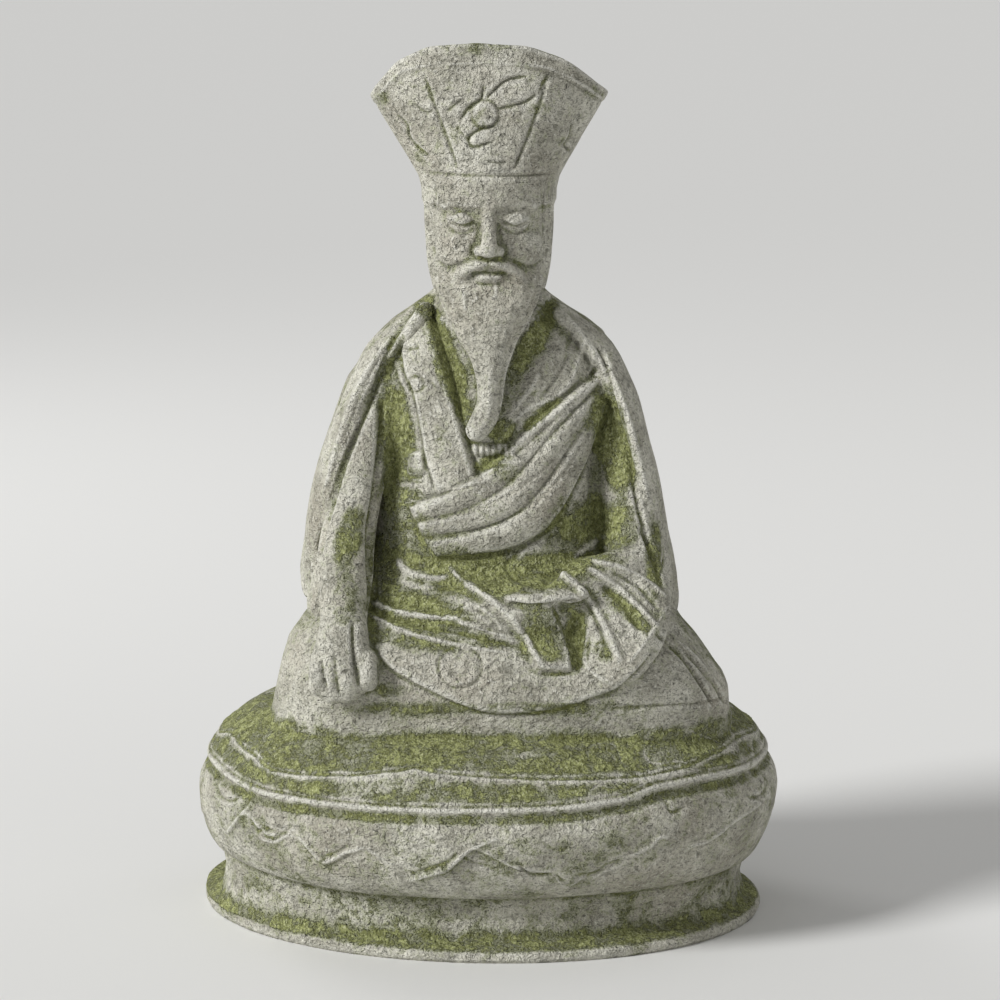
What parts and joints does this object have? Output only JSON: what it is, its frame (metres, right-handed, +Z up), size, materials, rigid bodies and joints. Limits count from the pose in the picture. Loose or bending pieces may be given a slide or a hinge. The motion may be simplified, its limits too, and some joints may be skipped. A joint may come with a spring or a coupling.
{
  "type": "monk figurine",
  "caption": "Seated bearded monk in a cloak and a flaring fan-shaped hat, on an oval cushion throne, carved in mossy stone.",
  "frame": {"origin": "middle of the footprint, on the surface that the statue stands on", "axes": "+Z up, the figure faces -Y, +X is to the viewer's right"},
  "size_m": [0.4055, 0.3069, 0.6044],
  "materials": {
    "stone": null
  },
  "bodies": {
    "root": {"monk_statue": "stone"}
  },
  "joints": []
}
